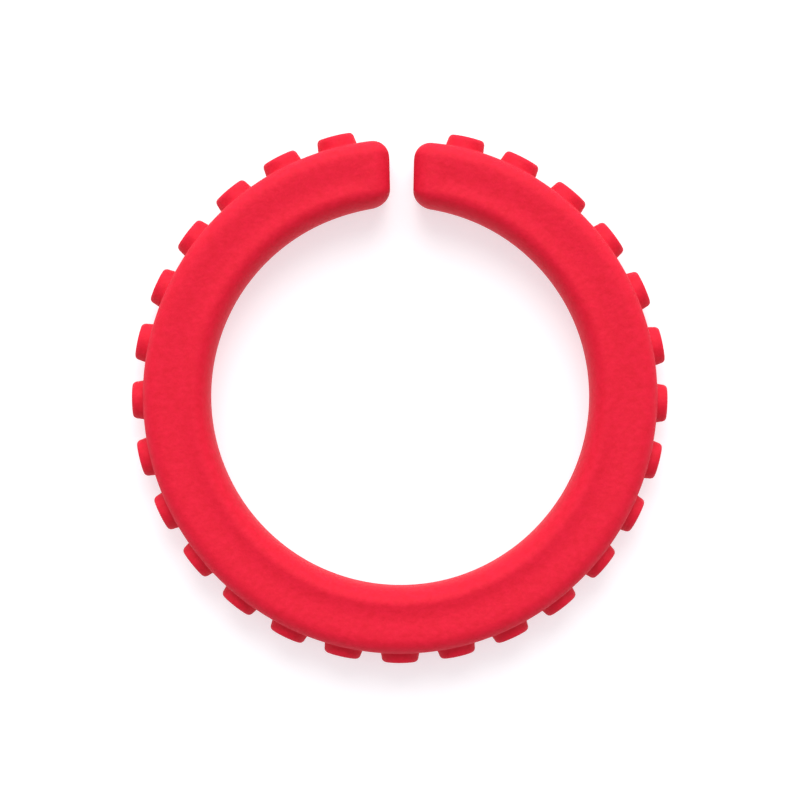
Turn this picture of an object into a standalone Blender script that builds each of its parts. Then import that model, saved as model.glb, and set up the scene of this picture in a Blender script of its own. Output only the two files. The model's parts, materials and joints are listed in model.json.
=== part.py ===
"""Open chewable bangle: a C-shaped band of soft elastomer with one row of round studs around its rim.

The band lies flat on Z = 0. Its gap faces +Y and its back faces -Y. The origin is the point where the
band's own axis meets the surface that it lies on.

The real band is one elastic moulding. Here it is divided into slices, one for each stud, and the slices
turn on each other, so that the band flexes all along its length as the elastomer does. The band bends
open and closed at the joints between slices, and each arm twists at the joint next to the back slice.
"""

import math

import bmesh
import bpy
from mathutils import Matrix, Vector

# Band, in metres
INNER_DIAMETER = 0.0600
BAND_THICKNESS = 0.0104  # radially, from the inner wall to the rim
BAND_WIDTH = 0.0120  # along Z
RIM_ROUND = 0.0023  # radius of the two outer corners of the section
INNER_ROUND = 0.0026  # radius of the two inner corners of the section
TIP_GAP = 0.0039  # between the two flat ends
TIP_ROUND = 0.0019  # rounding around each flat end
TIP_PLAIN = 0.0004  # plain band left between that rounding and the nearest section of the mesh

# Studs
STUD_PITCH = math.radians(12.75)
STUDS_PER_ARM = 13  # besides the one at the back
STUD_DIAMETER = 0.0060
STUD_REACH = 0.0019  # from the rim to the stud's flat end
STUD_ROUND = 0.00045  # around the stud's flat end

# Clearances
SLICE_GAP = 0.0005  # between two slices, at the middle of the band's thickness
SEAT_GAP = 0.0003  # between a stud's flat base and the rim

# Mesh detail
CORNER_STEPS = 3
SLICE_STEPS = 4
TIP_STEPS = 4
TIP_ROUND_STEPS = 3
STUD_SIDES = 20
STUD_ROUND_STEPS = 2
SHARP_ANGLE = math.radians(35)

# Derived sizes
INNER_RADIUS = INNER_DIAMETER / 2
RIM_RADIUS = INNER_RADIUS + BAND_THICKNESS
MID_RADIUS = INNER_RADIUS + BAND_THICKNESS / 2
SLICE_ANGLE = STUD_PITCH - SLICE_GAP / MID_RADIUS
TIP_END_ANGLE = math.asin((TIP_GAP / 2 + TIP_ROUND + TIP_PLAIN) / INNER_RADIUS)
BACK_ANGLE = math.radians(-90)

ELASTOMER_RED = (0.80, 0.022, 0.048, 1.0)
ELASTOMER_ROUGHNESS = 0.55


def clear_scene():
    for old in list(bpy.data.objects):
        bpy.data.objects.remove(old)


def elastomer():
    material = bpy.data.materials.new("red_elastomer")
    material.use_nodes = True
    shader = material.node_tree.nodes["Principled BSDF"]
    shader.inputs["Base Color"].default_value = ELASTOMER_RED
    shader.inputs["Roughness"].default_value = ELASTOMER_ROUGHNESS
    shader.inputs["Metallic"].default_value = 0.0
    return material


def corner_arc(centre_x, centre_z, radius, first_angle):
    """Points of a quarter circle in the XZ plane, anticlockwise from first_angle."""
    points = []
    for step in range(CORNER_STEPS + 1):
        angle = first_angle + math.radians(90) * step / CORNER_STEPS
        x = centre_x + radius * math.cos(angle)
        z = centre_z + radius * math.sin(angle)
        points.append(Vector((x, 0, z)))
    return points


def section_points():
    """The band's rounded section, in the XZ plane at its true radius from the Z axis."""
    rim_x = RIM_RADIUS - RIM_ROUND
    inner_x = INNER_RADIUS + INNER_ROUND
    lower_right = corner_arc(rim_x, RIM_ROUND, RIM_ROUND, math.radians(-90))
    upper_right = corner_arc(rim_x, BAND_WIDTH - RIM_ROUND, RIM_ROUND, 0)
    upper_left = corner_arc(inner_x, BAND_WIDTH - INNER_ROUND, INNER_ROUND, math.radians(90))
    lower_left = corner_arc(inner_x, INNER_ROUND, INNER_ROUND, math.radians(180))
    return lower_right + upper_right + upper_left + lower_left


def spun_band(start, runs):
    """A bmesh of the section spun around Z from the angle start, by runs of (sweep, steps)."""
    bm = bmesh.new()
    turn = Matrix.Rotation(start, 3, "Z")
    section = bm.faces.new([bm.verts.new(turn @ point) for point in section_points()])
    end = [section] + section.edges[:] + section.verts[:]
    for sweep, steps in runs:
        spun = bmesh.ops.spin(
            bm,
            geom=end,
            cent=(0, 0, 0),
            axis=(0, 0, 1),
            dvec=(0, 0, 0),
            angle=sweep,
            steps=steps,
            use_duplicate=False,
        )
        end = spun["geom_last"]
    bmesh.ops.recalc_face_normals(bm, faces=bm.faces)
    return bm


def finished_mesh(bm, name, material):
    mesh = bpy.data.meshes.new(name)
    bm.to_mesh(mesh)
    bm.free()
    mesh.shade_smooth()
    mesh.set_sharp_from_angle(angle=SHARP_ANGLE)
    mesh.materials.append(material)
    return mesh


def slice_mesh(material):
    """One slice of the band, centred on the +X axis."""
    bm = spun_band(-SLICE_ANGLE / 2, [(SLICE_ANGLE, SLICE_STEPS)])
    return finished_mesh(bm, "band_slice", material)


def tip_mesh(material, side):
    """The last slice of an arm, at its place: side is 1 for the +X arm and -1 for the -X arm."""
    gap_angle = math.radians(90)
    first_face = STUD_PITCH * (STUDS_PER_ARM - 0.5) + SLICE_GAP / MID_RADIUS / 2
    sweep = math.radians(180) - first_face
    runs = [(sweep - TIP_END_ANGLE, TIP_STEPS), (TIP_END_ANGLE, 1)]
    if side > 0:
        bm = spun_band(gap_angle - sweep, runs)
    else:
        bm = spun_band(gap_angle, runs[::-1])
    cut = bmesh.ops.bisect_plane(
        bm,
        geom=bm.verts[:] + bm.edges[:] + bm.faces[:],
        plane_co=(side * TIP_GAP / 2, 0, 0),
        plane_no=(-side, 0, 0),
        clear_outer=True,
    )
    outline = [item for item in cut["geom_cut"] if isinstance(item, bmesh.types.BMEdge)]
    bmesh.ops.contextual_create(bm, geom=outline)
    bmesh.ops.recalc_face_normals(bm, faces=bm.faces)
    bmesh.ops.bevel(
        bm,
        geom=outline,
        offset=TIP_ROUND,
        offset_type="OFFSET",
        segments=TIP_ROUND_STEPS,
        profile=0.5,
        affect="EDGES",
    )
    return finished_mesh(bm, "band_tip", material)


def stud_mesh(material):
    """A round peg on the +X axis, with its flat base just off the rim and its rounded end outwards."""
    base_x = RIM_RADIUS + SEAT_GAP
    end_x = RIM_RADIUS + STUD_REACH
    length = end_x - base_x
    upright = Matrix.Rotation(math.radians(90), 4, "Y")
    place = Matrix.Translation(((base_x + end_x) / 2, 0, BAND_WIDTH / 2)) @ upright
    bm = bmesh.new()
    bmesh.ops.create_cone(
        bm,
        cap_ends=True,
        segments=STUD_SIDES,
        radius1=STUD_DIAMETER / 2,
        radius2=STUD_DIAMETER / 2,
        depth=length,
        matrix=place,
    )
    middle_x = (base_x + end_x) / 2
    end_rim = [edge for edge in bm.edges if all(vert.co.x > middle_x for vert in edge.verts)]
    bmesh.ops.bevel(
        bm,
        geom=end_rim,
        offset=STUD_ROUND,
        offset_type="OFFSET",
        segments=STUD_ROUND_STEPS,
        profile=0.5,
        affect="EDGES",
    )
    return finished_mesh(bm, "stud", material)


def attach(child, parent):
    """Parents child without moving it."""
    bpy.context.view_layer.update()
    child.parent = parent
    child.matrix_parent_inverse = parent.matrix_world.inverted()


def add_object(collection, name, mesh, turn):
    """Adds an object with the given mesh, turned about the band's axis."""
    new = bpy.data.objects.new(name, mesh)
    new.rotation_euler.z = turn
    collection.objects.link(new)
    return new


def add_joint(collection, name, angle, parent):
    """Adds an empty on a joint's axis, in the middle of the band's section at the given angle."""
    joint = bpy.data.objects.new(name, None)
    joint.location = (MID_RADIUS * math.cos(angle), MID_RADIUS * math.sin(angle), BAND_WIDTH / 2)
    joint.rotation_euler.z = angle
    collection.objects.link(joint)
    attach(joint, parent)
    return joint


def add_arm(collection, side_name, side, meshes, back):
    """Adds one arm of the band, from the back to its tip. Each joint carries the next slice and stud.

    The first joint twists and the others bend. The tip turns with the slice before it.
    """
    joint = back
    for number in range(1, STUDS_PER_ARM + 1):
        joint_angle = BACK_ANGLE + side * STUD_PITCH * (number - 0.5)
        stud_angle = BACK_ANGLE + side * STUD_PITCH * number
        if number == 1:
            joint = add_joint(collection, f"twist_{side_name}", joint_angle, joint)
        elif number < STUDS_PER_ARM:
            joint = add_joint(collection, f"bend_{side_name}_{number - 1:02d}", joint_angle, joint)
        if number < STUDS_PER_ARM:
            band = add_object(collection, f"band_{side_name}_{number:02d}", meshes["slice"], stud_angle)
        else:
            band = add_object(collection, f"band_{side_name}_tip", meshes[f"{side_name}_tip"], 0)
        stud = add_object(collection, f"stud_{side_name}_{number:02d}", meshes["stud"], stud_angle)
        attach(band, joint)
        attach(stud, joint)


def build():
    clear_scene()
    collection = bpy.data.collections.new("open_chew_bangle")
    bpy.context.scene.collection.children.link(collection)

    material = elastomer()
    meshes = {
        "slice": slice_mesh(material),
        "right_tip": tip_mesh(material, 1),
        "left_tip": tip_mesh(material, -1),
        "stud": stud_mesh(material),
    }

    back = add_object(collection, "band_back", meshes["slice"], BACK_ANGLE)
    back_stud = add_object(collection, "stud_back", meshes["stud"], BACK_ANGLE)
    attach(back_stud, back)
    add_arm(collection, "right", 1, meshes, back)
    add_arm(collection, "left", -1, meshes, back)


build()
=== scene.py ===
"""Looks of the open chewable bangle: one soft red elastomer moulding on a white studio floor.

Each slice of the band is one closed mesh with its own stud, and meets its neighbours at the joints' planes.
A slice that crosses a joint is attached to neither body, and stays where it is at rest.
"""

import json
import math

import bmesh
import bpy
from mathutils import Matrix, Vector, noise


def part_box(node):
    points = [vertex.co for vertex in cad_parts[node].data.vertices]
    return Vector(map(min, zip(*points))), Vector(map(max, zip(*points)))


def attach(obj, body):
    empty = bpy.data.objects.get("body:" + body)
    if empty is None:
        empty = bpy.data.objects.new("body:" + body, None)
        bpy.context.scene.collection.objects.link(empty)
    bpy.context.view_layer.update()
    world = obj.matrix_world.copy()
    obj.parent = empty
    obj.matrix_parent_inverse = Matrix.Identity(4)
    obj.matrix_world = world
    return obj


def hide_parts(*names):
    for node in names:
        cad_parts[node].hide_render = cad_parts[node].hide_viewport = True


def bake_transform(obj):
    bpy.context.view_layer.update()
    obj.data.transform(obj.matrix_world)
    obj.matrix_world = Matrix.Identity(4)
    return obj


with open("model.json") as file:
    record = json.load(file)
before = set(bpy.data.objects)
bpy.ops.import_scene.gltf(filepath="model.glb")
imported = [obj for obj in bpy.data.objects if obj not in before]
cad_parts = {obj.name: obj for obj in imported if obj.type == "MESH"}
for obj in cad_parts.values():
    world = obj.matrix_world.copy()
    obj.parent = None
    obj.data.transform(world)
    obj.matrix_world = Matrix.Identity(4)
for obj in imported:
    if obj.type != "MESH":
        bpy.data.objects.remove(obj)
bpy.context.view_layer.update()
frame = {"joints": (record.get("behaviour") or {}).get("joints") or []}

MM = 0.001

# ---------------------------------------------------------------- sizes read from the frame
JOINT_PLACES = {joint["name"]: Vector(joint["pos_m"]) for joint in frame["joints"]}
BACK_LOW, BACK_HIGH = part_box("band_back")
STUD_LOW, STUD_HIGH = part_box("stud_back")
FIRST_JOINT = JOINT_PLACES["twist_right"]

BACK_ANGLE = math.radians(-90)
GAP_ANGLE = math.radians(90)
MID_RADIUS = math.hypot(FIRST_JOINT.x, FIRST_JOINT.y)
STUD_PITCH = 2 * (math.atan2(FIRST_JOINT.y, FIRST_JOINT.x) - BACK_ANGLE)
RIM_RADIUS = -BACK_LOW.y
INNER_RADIUS = 2 * MID_RADIUS - RIM_RADIUS
THICKNESS = RIM_RADIUS - INNER_RADIUS
WIDTH = BACK_HIGH.z - BACK_LOW.z
TIP_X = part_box("band_right_tip")[0].x
STUD_RADIUS = (STUD_HIGH.z - STUD_LOW.z) / 2
STUD_REACH = -STUD_LOW.y - RIM_RADIUS
STUDS_PER_ARM = 13

# ---------------------------------------------------------------- sizes of the moulded detail
RIM_ROUND = 2.3 * MM  # outer corners of the section
INNER_ROUND = 2.6 * MM  # inner corners of the section, measured along the face
INNER_DROP = 4.2 * MM  # the same corners, measured along the inner wall
TIP_ROUND = 2.8 * MM  # around each flat end
TIP_ROUND_X = TIP_X + TIP_ROUND  # where that rounding begins
LEAST_ROUND = 0.3 * MM  # what is left of the section's corners where that rounding ends
DISH_DEPTH = 0.22 * MM  # how far the thick middle of each face has sunk in cooling
DISH_BIAS = 0.75  # below 1, the deepest part lies nearer to the inner wall than to the rim
DISH_FADE = 2.6 * MM  # over which the dish runs out towards a tip
STUD_FILLET = 0.30 * MM  # between the rim and the stud's wall
STUD_EDGE = 0.60 * MM  # rounding around the stud's face, measured across the stud
STUD_EDGE_DEPTH = 0.85 * MM  # the same, measured along the stud
STUD_DRAFT = 0.05 * MM  # how much wider the stud is at its foot, and narrower at its face
STUD_DOME = 0.12 * MM  # how far the middle of the stud's face stands out
WAVE_HEIGHT = 0.020 * MM  # slow unevenness of a soft moulding
WAVE_LENGTH = 9.0 * MM  # from one wave to the next
WAVE_SEED = 1  # without one, mathutils draws the waves' places from the clock
RIGHT_ARM_DRIFT = math.radians(0.72)  # how far the middle of the right arm has settled back round the ring
RIGHT_TIP_DRIFT = 0.16 * MM  # how far the right end has settled towards +X
LEFT_TIP_DRIFT = 0.31 * MM  # the same for the left end
TIP_DRIFT_ANGLE = math.radians(24)  # from the gap, where that begins
TIP_LEAN = 0.25 * MM  # how much further each flat end reaches at the inner wall than at the rim
RIGHT_TIP_SLIM = 0.35 * MM  # how far the right tip's rim has shrunk in
LEFT_TIP_SLIM = 0.15 * MM  # how far the left tip's inner wall has shrunk out
STUD_UNEVEN = 0.10  # share by which the longest studs are longer and the shortest are shorter
LONG_STUD_ANGLE = math.radians(112)  # where the longest ones are
SEAM_MARGIN = 0.9 * MM  # how far in from both ends of a slice that crosses a joint its start and end points are taken

# ---------------------------------------------------------------- mesh steps
CORNER_STEPS = 10  # around each corner of the section
FACE_STEPS = 20  # across each flat face of the band
WALL_STEPS = 10  # along the inner wall
PATCH_STEPS = 20  # along each side of the square patch that the stud grows out of
EDGE_STEPS = 3  # between that patch and the joint's plane
TIP_STEPS = 22  # from the last stud's patch to the rounding of the flat end
TIP_ROUND_STEPS = 10  # around that rounding
PATCH_HALF = 3.5 * MM  # half the patch's length along the rim. It has to end before TIP_ROUND_X
BLEND_RINGS = 4  # from the patch's border to the stud's foot
BLEND_EASE = 1.3  # above 1, those rings lie closer together towards the stud
FILLET_STEPS = 5
STUD_WALL_STEPS = 2
STUD_EDGE_STEPS = 8
STUD_FACE_RINGS = 4
STUD_FACE_SHARE = 0.85  # of the face's radius, covered by those rings. The middle is one polygon

# ---------------------------------------------------------------- looks of the elastomer
SPECULAR_LEVEL = 0.24
DARK_RED = (0.605, 0.0028, 0.020, 1)
LIGHT_RED = (0.690, 0.0054, 0.032, 1)
DARK_POINT, LIGHT_POINT = 0.30, 0.70  # of the mottling, where each of them is reached
LEAST_ROUGHNESS, MOST_ROUGHNESS = 0.60, 0.78
MOTTLE = {"Scale": 900.0, "Detail": 4.0, "Roughness": 0.7}  # scales are per metre
PORES = {"Scale": 1100.0, "Detail": 3.0, "Roughness": 0.55}
GRAIN = {"Scale": 3200.0, "Detail": 2.0, "Roughness": 0.6}
PORE_BUMP = {"Strength": 0.75, "Distance": 0.12 * MM}
GRAIN_BUMP = {"Strength": 0.35, "Distance": 0.05 * MM}

# ---------------------------------------------------------------- sizes of the studio, in metres
CAMERA_DISTANCE = 0.48
CAMERA_TILT = math.radians(0.9)  # from straight above, towards the gap
CAMERA_TARGET = Vector((-0.00003, -0.00047, WIDTH))
SENSOR_WIDTH = 36  # in millimetres, as Blender has it
VIEW_WIDTH = 0.1250  # across the picture, at the target
FLOOR_HALF = 3.0
FLOOR_COLOUR = (0.60, 0.60, 0.60, 1)
FLOOR_ROUGHNESS = 0.9
FLOOR_GLOW_COLOUR = (1, 1, 1.05, 1)
FLOOR_GLOW = 0.5  # keeps the floor near white around the shadow
WORLD_DIM = 0.58  # strength of the surroundings behind the back
WORLD_BRIGHT = 2.7  # the same beyond the gap
WORLD_CURVE = 4.0  # above 1, the bright part is narrower
WINDOW_PLACE = Vector((0, 0.61, 0.87))
WINDOW_TARGET = Vector((0, 0, 0))
WINDOW_SIZE = 0.62
WINDOW_POWER = 5.4


def smooth(t):
    """0 up to t = 0, 1 from t = 1 on, and an even S-curve between."""
    t = min(max(t, 0.0), 1.0)
    return t * t * (3 - 2 * t)


# ---------------------------------------------------------------- the band's section
def arc(centre_u, centre_z, along, down, first, steps):
    """Points (u, z) of a quarter of an ellipse, anticlockwise, without its last point."""
    points = []
    for step in range(steps):
        angle = first + math.radians(90) * step / steps
        points.append((centre_u + along * math.cos(angle), centre_z + down * math.sin(angle)))
    return points


def line(start, end, steps):
    """Points (u, z) along a straight line, without its last point."""
    return [
        (start[0] + (end[0] - start[0]) * step / steps, start[1] + (end[1] - start[1]) * step / steps)
        for step in range(steps)
    ]


def section(inset, dish):
    """The closed outline of the section, as (u, z) with u outwards from the inner wall, starting at the foot
    of the outer wall and running up it. inset shrinks it evenly, and dish is the depth of both faces' dish."""
    rim = max(RIM_ROUND - inset, LEAST_ROUND)
    inner = max(INNER_ROUND - inset, LEAST_ROUND)
    drop = max(INNER_DROP - inset, LEAST_ROUND)
    outer_u, inner_u = THICKNESS - inset - rim, inset + inner
    low_rim, high_rim = inset + rim, WIDTH - inset - rim
    low_inner, high_inner = inset + drop, WIDTH - inset - drop
    points = line((THICKNESS - inset, low_rim), (THICKNESS - inset, high_rim), PATCH_STEPS)
    points += arc(outer_u, high_rim, rim, rim, 0, CORNER_STEPS)
    top = line((outer_u, WIDTH - inset), (inner_u, WIDTH - inset), FACE_STEPS)
    points += [(u, z - dish * dish_shape(u)) for u, z in top]
    points += arc(inner_u, high_inner, inner, drop, math.radians(90), CORNER_STEPS)
    points += line((inset, high_inner), (inset, low_inner), WALL_STEPS)
    points += arc(inner_u, low_inner, inner, drop, math.radians(180), CORNER_STEPS)
    bottom = line((inner_u, inset), (outer_u, inset), FACE_STEPS)
    points += [(u, z + dish * dish_shape(u)) for u, z in bottom]
    points += arc(outer_u, low_rim, rim, rim, math.radians(270), CORNER_STEPS)
    return points


def dish_shape(u):
    """0 at both sides of the face and 1 at the dish's deepest, which is nearer to the inner wall."""
    share = (u - INNER_ROUND) / (THICKNESS - RIM_ROUND - INNER_ROUND)
    return math.sin(math.pi * min(max(share, 0.0), 1.0) ** DISH_BIAS) ** 2


# ---------------------------------------------------------------- placing points
def around(radius, angle, z):
    return Vector((radius * math.cos(angle), radius * math.sin(angle), z))


def uneven(point):
    """Where a point of the even shape lies on the real, slightly uneven moulding. It depends on the point
    alone, so that pieces which share a point still do."""
    radius = math.hypot(point.x, point.y)
    angle = math.atan2(point.y, point.x)
    near_tip = smooth(1 - abs(angle - GAP_ANGLE) / TIP_DRIFT_ANGLE)
    if point.x > 0:
        angle -= RIGHT_ARM_DRIFT * math.sin(angle - BACK_ANGLE)
    if radius > RIM_RADIUS:
        share = 1 + STUD_UNEVEN * math.cos(angle - LONG_STUD_ANGLE)
        radius = RIM_RADIUS + (radius - RIM_RADIUS) * share
    outward = (radius - INNER_RADIUS) / THICKNESS
    if point.x > 0:
        radius -= RIGHT_TIP_SLIM * near_tip * outward
    else:
        radius += LEFT_TIP_SLIM * near_tip * (1 - outward)
    lean = TIP_LEAN * near_tip * (0.5 - min(max(outward, 0), 1))
    settled = around(radius, angle, point.z)
    if point.x > 0:
        settled.x += RIGHT_TIP_DRIFT * near_tip - lean
    else:
        settled.x += LEFT_TIP_DRIFT * near_tip + lean
    return settled + noise.noise_vector(point / WAVE_LENGTH) * WAVE_HEIGHT


# ---------------------------------------------------------------- the stud
def stud_profile():
    """Points (distance from the stud's axis, height above the rim), from the fillet to the stud's face."""
    points = []
    for step in range(1, FILLET_STEPS + 1):
        angle = math.radians(90) * step / FILLET_STEPS
        across = STUD_RADIUS + STUD_DRAFT + STUD_FILLET * (1 - math.sin(angle))
        points.append((across, STUD_FILLET * (1 - math.cos(angle))))
    low, high = STUD_FILLET, STUD_REACH - STUD_DOME - STUD_EDGE_DEPTH
    for step in range(1, STUD_WALL_STEPS + 1):
        share = step / STUD_WALL_STEPS
        points.append((STUD_RADIUS + STUD_DRAFT * (1 - 2 * share), low + (high - low) * share))
    face_radius = STUD_RADIUS - STUD_DRAFT - STUD_EDGE
    for step in range(1, STUD_EDGE_STEPS + 1):
        angle = math.radians(90) * step / STUD_EDGE_STEPS
        points.append((face_radius + STUD_EDGE * math.cos(angle), high + STUD_EDGE_DEPTH * math.sin(angle)))
    for ring in range(1, STUD_FACE_RINGS + 1):
        share = ring / STUD_FACE_RINGS
        across = face_radius * (1 - STUD_FACE_SHARE * share)
        dome = STUD_DOME * (1 - (across / face_radius) ** 2)
        points.append((across, high + STUD_EDGE_DEPTH + dome))
    return points


def stud_point(centre_angle, along, up, height):
    """A point near a stud: along the rim and up from its axis, and height above the rim. At its foot it
    follows the rim's curve, and at its face it is flat."""
    wrapped = around(RIM_RADIUS + height, centre_angle + along / RIM_RADIUS, WIDTH / 2 + up)
    out = Vector((math.cos(centre_angle), math.sin(centre_angle), 0))
    side = Vector((-math.sin(centre_angle), math.cos(centre_angle), 0))
    flat = out * (RIM_RADIUS + height) + side * along + Vector((0, 0, WIDTH / 2 + up))
    return wrapped.lerp(flat, smooth(height / (STUD_REACH - STUD_EDGE_DEPTH)))


def grow_stud(bm, centre_angle, border):
    """Fills the hole in the rim with a stud. border lists (vertex, along, up) in turn."""
    foot = STUD_RADIUS + STUD_DRAFT + STUD_FILLET
    rings = [[item[0] for item in border]]
    bearings = [math.atan2(up, along) for _, along, up in border]
    for ring in range(1, BLEND_RINGS + 1):
        share = 1 - (1 - ring / BLEND_RINGS) ** BLEND_EASE
        verts = []
        for (_, along, up), bearing in zip(border, bearings):
            to_along = along + (foot * math.cos(bearing) - along) * share
            to_up = up + (foot * math.sin(bearing) - up) * share
            verts.append(bm.verts.new(stud_point(centre_angle, to_along, to_up, 0)))
        rings.append(verts)
    for across, height in stud_profile():
        verts = []
        for bearing in bearings:
            along, up = across * math.cos(bearing), across * math.sin(bearing)
            verts.append(bm.verts.new(stud_point(centre_angle, along, up, height)))
        rings.append(verts)
    for outer, inner in zip(rings, rings[1:]):
        join_rings(bm, outer, inner)
    bm.faces.new(rings[-1])


def join_rings(bm, first, second):
    """Joins two closed rings of as many vertices with four-sided faces."""
    for i in range(len(first)):
        j = (i + 1) % len(first)
        bm.faces.new((first[i], first[j], second[j], second[i]))


# ---------------------------------------------------------------- slices
def slice_angles(start, centre, end):
    """Angles of a slice's stations: even steps from the joint's plane to the stud's patch, across it, and on
    to the next joint's plane, or no further than the patch if end is None."""
    half = PATCH_HALF / RIM_RADIUS
    angles = [start + (centre - half - start) * i / EDGE_STEPS for i in range(EDGE_STEPS)]
    angles += [centre - half + 2 * half * i / PATCH_STEPS for i in range(PATCH_STEPS)]
    if end is None:
        return angles + [centre + half]
    return angles + [centre + half + (end - centre - half) * i / EDGE_STEPS for i in range(EDGE_STEPS + 1)]


def skin(bm, stations, centre_angle):
    """Joins the stations' loops of vertices, leaves out the stud's patch, and grows the stud there."""
    count = len(stations[0])
    first, last = EDGE_STEPS, EDGE_STEPS + PATCH_STEPS
    for i in range(len(stations) - 1):
        here, there = stations[i], stations[i + 1]
        for k in range(PATCH_STEPS if first <= i < last else 0, count):
            n = (k + 1) % count
            bm.faces.new((here[k], there[k], there[n], here[n]))
    corners = [(i, 0) for i in range(first, last)]
    corners += [(last, k) for k in range(PATCH_STEPS)]
    corners += [(i, PATCH_STEPS) for i in range(last, first, -1)]
    corners += [(first, k) for k in range(PATCH_STEPS, 0, -1)]
    half_turn = math.pi * RIM_RADIUS
    border = []
    for i, k in corners:
        vert = stations[i][k]
        along = RIM_RADIUS * (math.atan2(vert.co.y, vert.co.x) - centre_angle)
        along = (along + half_turn) % (2 * half_turn) - half_turn
        border.append((vert, along, vert.co.z - WIDTH / 2))
    grow_stud(bm, centre_angle, border)


def plain_slice(start, centre, end):
    """A slice between two joints' planes, with its stud at the angle centre."""
    bm = bmesh.new()
    outline = section(0, DISH_DEPTH)
    stations = [
        [bm.verts.new(around(INNER_RADIUS + u, angle, z)) for u, z in outline]
        for angle in slice_angles(start, centre, end)
    ]
    skin(bm, stations, centre)
    close_end(bm, stations[0])
    close_end(bm, stations[-1])
    return bm


def close_end(bm, loop):
    """Closes a slice with a flat cut face, in a joint's plane. Its hard edge keeps the shading of both sides
    apart."""
    for edge in bm.faces.new(loop).edges:
        edge.smooth = False


def tip_dish(middle_angle):
    """The dish's depth near the flat end, where it runs out."""
    return DISH_DEPTH * smooth((MID_RADIUS * math.cos(middle_angle) - TIP_ROUND_X) / DISH_FADE)


def tip_slice(start, centre):
    """The last slice of the +X arm. Its stations turn from radial planes into planes across the flat end."""
    bm = bmesh.new()
    stations = []
    for angle in slice_angles(start, centre, None):
        outline = section(0, tip_dish(angle))
        stations.append([bm.verts.new(around(INNER_RADIUS + u, angle, z)) for u, z in outline])
    last_angle = centre + PATCH_HALF / RIM_RADIUS
    for step in range(1, TIP_STEPS + 1):
        share = step / TIP_STEPS
        middle_angle = last_angle + (math.acos(TIP_ROUND_X / MID_RADIUS) - last_angle) * share
        loop = []
        for u, z in section(0, tip_dish(middle_angle)):
            radius = INNER_RADIUS + u
            end_angle = math.acos(TIP_ROUND_X / radius)
            loop.append(bm.verts.new(around(radius, last_angle + (end_angle - last_angle) * share, z)))
        stations.append(loop)
    for step in range(1, TIP_ROUND_STEPS + 1):
        turn = math.radians(90) * step / TIP_ROUND_STEPS
        x = TIP_X + TIP_ROUND * (1 - math.sin(turn))
        loop = []
        for u, z in section(TIP_ROUND * (1 - math.cos(turn)), 0):
            radius = INNER_RADIUS + u
            loop.append(bm.verts.new(Vector((x, math.sqrt(radius**2 - x**2), z))))
        stations.append(loop)
    skin(bm, stations, centre)
    close_end(bm, stations[0])
    bm.faces.new(stations[-1])
    return bm


def add_object(name, data):
    obj = bpy.data.objects.new(name, data)
    bpy.context.scene.collection.objects.link(obj)
    return obj


def finish_mesh(bm, name, mirrored):
    """Turns a slice of the +X arm into a piece, mirrored onto the -X arm if asked, and remembers where each
    vertex is at rest, for the material."""
    for face in bm.faces:
        face.smooth = True
    if mirrored:
        for vert in bm.verts:
            vert.co.x = -vert.co.x
    for vert in bm.verts:
        vert.co = uneven(vert.co)
    bmesh.ops.recalc_face_normals(bm, faces=bm.faces)
    mesh = bpy.data.meshes.new(name)
    bm.to_mesh(mesh)
    bm.free()
    rest = mesh.attributes.new("rest_place", "FLOAT_VECTOR", "POINT")
    for vertex, place in zip(mesh.vertices, rest.data):
        place.vector = vertex.co
    return add_object(name, mesh)


# ---------------------------------------------------------------- materials
def add_node(nodes, kind, inputs):
    node = nodes.new(kind)
    for name, value in inputs.items():
        node.inputs[name].default_value = value
    return node


def elastomer():
    """Matte red elastomer: fine mould grain, faint mottling of the colour, and a slightly uneven gloss."""
    material = bpy.data.materials.new("red_elastomer")
    material.use_nodes = True
    nodes, links = material.node_tree.nodes, material.node_tree.links
    shader = nodes["Principled BSDF"]
    shader.inputs["Specular IOR Level"].default_value = SPECULAR_LEVEL
    place = nodes.new("ShaderNodeAttribute")
    place.attribute_name = "rest_place"
    grain = add_node(nodes, "ShaderNodeTexNoise", GRAIN)
    pores = add_node(nodes, "ShaderNodeTexNoise", PORES)
    mottle = add_node(nodes, "ShaderNodeTexNoise", MOTTLE)
    for texture in (grain, pores, mottle):
        links.new(place.outputs["Vector"], texture.inputs["Vector"])
    colour = nodes.new("ShaderNodeValToRGB")
    dark, light = colour.color_ramp.elements
    dark.position, dark.color = DARK_POINT, DARK_RED
    light.position, light.color = LIGHT_POINT, LIGHT_RED
    links.new(mottle.outputs["Fac"], colour.inputs["Fac"])
    links.new(colour.outputs["Color"], shader.inputs["Base Color"])
    gloss = add_node(nodes, "ShaderNodeMapRange", {"To Min": LEAST_ROUGHNESS, "To Max": MOST_ROUGHNESS})
    links.new(pores.outputs["Fac"], gloss.inputs["Value"])
    links.new(gloss.outputs["Result"], shader.inputs["Roughness"])
    coarse = add_node(nodes, "ShaderNodeBump", PORE_BUMP)
    fine = add_node(nodes, "ShaderNodeBump", GRAIN_BUMP)
    links.new(pores.outputs["Fac"], coarse.inputs["Height"])
    links.new(grain.outputs["Fac"], fine.inputs["Height"])
    links.new(coarse.outputs["Normal"], fine.inputs["Normal"])
    links.new(fine.outputs["Normal"], shader.inputs["Normal"])
    return material


# ---------------------------------------------------------------- pieces
def body_name(side_name, number):
    """The body of an arm's slice. The last two slices of an arm ride on one body."""
    if number == 0:
        return "back"
    return f"{side_name}_{number:02d}" if number < STUDS_PER_ARM - 1 else f"{side_name}_tip"


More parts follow.
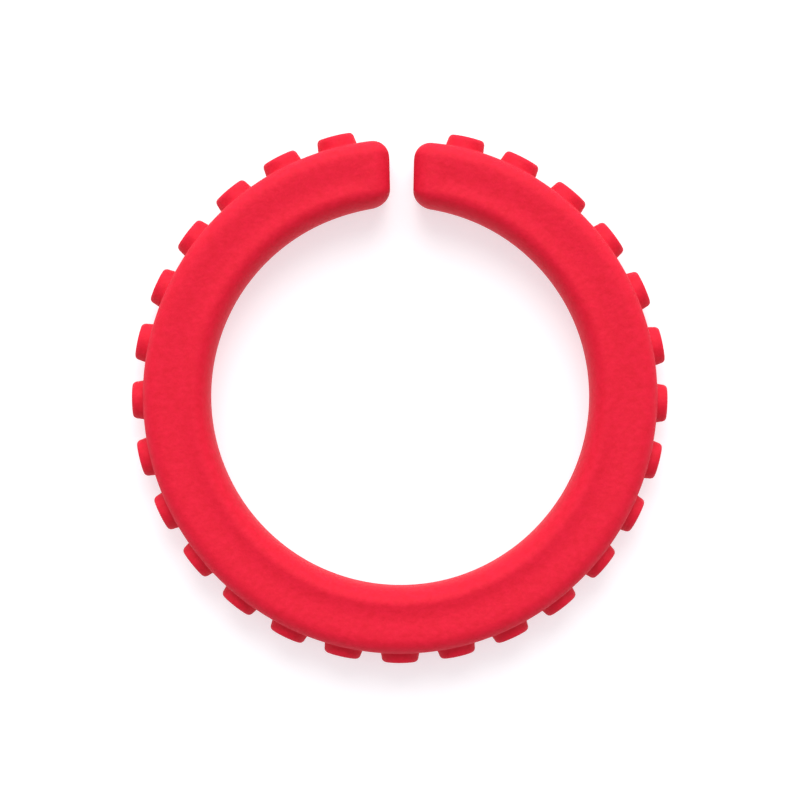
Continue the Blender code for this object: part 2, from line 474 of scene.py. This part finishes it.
def add_pieces(material):
    """One piece for each slice: the back one, and then each arm's from the back to the tip."""
    half = STUD_PITCH / 2
    piece = finish_mesh(plain_slice(BACK_ANGLE - half, BACK_ANGLE, BACK_ANGLE + half), "moulding_back", False)
    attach(piece, "back")
    dress(piece, material, "band_back", "stud_back")
    for side_name, side in (("right", 1), ("left", -1)):
        for number in range(1, STUDS_PER_ARM + 1):
            centre = BACK_ANGLE + STUD_PITCH * number
            if number < STUDS_PER_ARM:
                bm = plain_slice(centre - half, centre, centre + half)
                name, band = f"moulding_{side_name}_{number:02d}", f"band_{side_name}_{number:02d}"
            else:
                bm = tip_slice(centre - half, centre)
                name, band = f"moulding_{side_name}_tip", f"band_{side_name}_tip"
            piece = finish_mesh(bm, name, side < 0)
            before, body = body_name(side_name, number - 1), body_name(side_name, number)
            if before == body:
                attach(piece, body)
            else:
                reach = half - SEAM_MARGIN / MID_RADIUS
                start = around(MID_RADIUS, centre - reach, WIDTH / 2)
                end = around(MID_RADIUS, centre + reach, WIDTH / 2)
                for point in (start, end):
                    point.x *= side
                uneven(start)
                uneven(end)
                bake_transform(piece)
            dress(piece, material, band, f"stud_{side_name}_{number:02d}")


def dress(piece, material, band, stud):
    piece.data.materials.append(material)
    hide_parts(band, stud)


# ---------------------------------------------------------------- studio
def add_floor():
    bm = bmesh.new()
    bmesh.ops.create_grid(bm, x_segments=1, y_segments=1, size=FLOOR_HALF)
    mesh = bpy.data.meshes.new("floor")
    bm.to_mesh(mesh)
    bm.free()
    floor = add_object("floor", mesh)
    material = bpy.data.materials.new("white_floor")
    material.use_nodes = True
    shader = material.node_tree.nodes["Principled BSDF"]
    shader.inputs["Base Color"].default_value = FLOOR_COLOUR
    shader.inputs["Roughness"].default_value = FLOOR_ROUGHNESS
    shader.inputs["Emission Color"].default_value = FLOOR_GLOW_COLOUR
    shader.inputs["Emission Strength"].default_value = FLOOR_GLOW
    mesh.materials.append(material)


def add_window():
    """One large soft light, high beyond the gap."""
    data = bpy.data.lights.new("window", "AREA")
    data.shape = "DISK"
    data.size = WINDOW_SIZE
    data.energy = WINDOW_POWER
    light = add_object("window", data)
    light.location = WINDOW_PLACE
    light.rotation_euler = (WINDOW_TARGET - WINDOW_PLACE).to_track_quat("-Z", "Y").to_euler()


def add_camera():
    data = bpy.data.cameras.new("camera")
    data.sensor_width = SENSOR_WIDTH
    data.lens = SENSOR_WIDTH * CAMERA_DISTANCE / VIEW_WIDTH
    camera = add_object("camera", data)
    up = Vector((0, math.sin(CAMERA_TILT), math.cos(CAMERA_TILT)))
    camera.location = CAMERA_TARGET + up * CAMERA_DISTANCE
    camera.rotation_euler = (-CAMERA_TILT, 0, 0)
    bpy.context.scene.camera = camera


def add_world():
    """Soft surroundings, bright beyond the gap (+Y) and dim behind the back (-Y)."""
    world = bpy.data.worlds.new("world")
    world.use_nodes = True
    nodes, links = world.node_tree.nodes, world.node_tree.links
    background = nodes["Background"]
    background.inputs["Color"].default_value = (1, 1, 1, 1)
    place = nodes.new("ShaderNodeTexCoord")
    axes = nodes.new("ShaderNodeSeparateXYZ")
    links.new(place.outputs["Generated"], axes.inputs["Vector"])
    share = add_node(nodes, "ShaderNodeMapRange", {"From Min": -1.0, "From Max": 1.0})
    curve = nodes.new("ShaderNodeMath")
    curve.operation = "POWER"
    curve.inputs[1].default_value = WORLD_CURVE
    strength = add_node(nodes, "ShaderNodeMapRange", {"To Min": WORLD_DIM, "To Max": WORLD_BRIGHT})
    links.new(axes.outputs["Y"], share.inputs["Value"])
    links.new(share.outputs["Result"], curve.inputs[0])
    links.new(curve.outputs["Value"], strength.inputs["Value"])
    links.new(strength.outputs["Result"], background.inputs["Strength"])
    bpy.context.scene.world = world


noise.seed_set(WAVE_SEED)
add_camera()
add_pieces(elastomer())
add_floor()
add_world()
add_window()
bpy.context.scene.view_settings.view_transform = "Standard"
